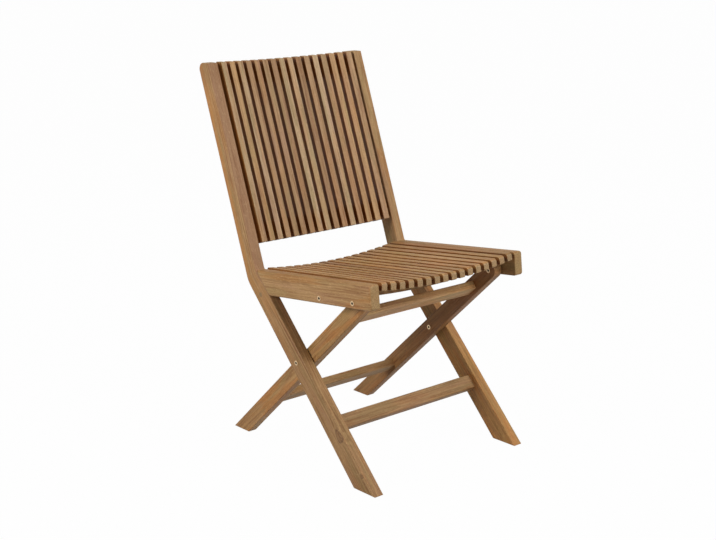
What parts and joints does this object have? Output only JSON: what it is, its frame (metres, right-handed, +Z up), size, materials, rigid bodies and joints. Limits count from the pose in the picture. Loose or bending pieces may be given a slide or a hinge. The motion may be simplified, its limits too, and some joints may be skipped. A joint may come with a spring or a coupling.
{
  "type": "folding chair",
  "caption": "Folding teak side chair without arms: slatted back and dished slatted seat on two crossing leg frames that fold flat.",
  "frame": {"origin": "middle of the footprint on the ground, under the centre of the bounding box", "axes": "+Z up; -Y is the way the sitter looks; +X is the sitter's left; X is also the axis of every pivot"},
  "size_m": [0.4744, 0.6238, 0.901],
  "materials": {
    "teak": "oiled, slightly weathered honey-brown wood",
    "steel": "brushed stainless steel"
  },
  "bodies": {
    "back_frame": {"right_stile": "teak", "left_stile": "teak", "back_top_rail": "teak", "back_bottom_rail": "teak", "back_slat_01": "teak", "back_slat_02": "teak", "back_slat_03": "teak", "back_slat_04": "teak", "back_slat_05": "teak", "back_slat_06": "teak", "back_slat_07": "teak", "back_slat_08": "teak", "back_slat_09": "teak", "back_slat_10": "teak", "back_slat_11": "teak", "back_slat_12": "teak", "back_slat_13": "teak", "back_slat_14": "teak", "back_slat_15": "teak", "back_slat_16": "teak", "front_stretcher": "teak", "back_slat_screws": "steel", "leg_pivot_bolts": "steel", "link_screws": "steel", "stile_plugs": "teak"},
    "links": {"right_link": "steel", "left_link": "steel", "link_studs": "steel"},
    "seat": {"right_seat_rail": "teak", "left_seat_rail": "teak", "seat_slat_01": "teak", "seat_slat_02": "teak", "seat_slat_03": "teak", "seat_slat_04": "teak", "seat_slat_05": "teak", "seat_slat_06": "teak", "seat_slat_07": "teak", "seat_slat_08": "teak", "seat_slat_09": "teak", "seat_slat_10": "teak", "seat_slat_11": "teak", "seat_slat_12": "teak", "seat_slat_13": "teak", "seat_slat_14": "teak", "seat_slat_15": "teak", "seat_slat_16": "teak", "front_batten": "teak", "middle_batten": "teak", "rear_batten": "teak", "seat_slat_screws": "steel", "seat_pivot_bolts": "steel", "link_barrels": "steel"},
    "rear_legs": {"right_rear_leg": "teak", "left_rear_leg": "teak", "rear_top_bar": "teak", "rear_stretcher": "teak", "leg_pivot_nuts": "steel", "pivot_washers": "steel"}
  },
  "joints": [
    {"name": "fold", "type": "hinge", "parent": "back_frame", "child": "links", "pos_m": [0, 0.0888, 0.3784], "axis": [-1, 0, 0], "range_deg": [0, 84.7]},
    {"name": "seat_turn", "type": "hinge", "parent": "links", "child": "seat", "pos_m": [0, -0.12752, 0.41401], "axis": [1, 0, 0], "range_deg": [0, 156.68]},
    {"name": "rear_leg_turn", "type": "hinge", "parent": "seat", "child": "rear_legs", "pos_m": [0, -0.2397, 0.4258], "axis": [-1, 0, 0], "range_deg": [0, 140.98]}
  ],
  "couplings": [
    {"joint": "seat_turn", "follows": "fold", "ratio": 1.8498},
    {"joint": "rear_leg_turn", "follows": "fold", "ratio": 1.6644}
  ]
}
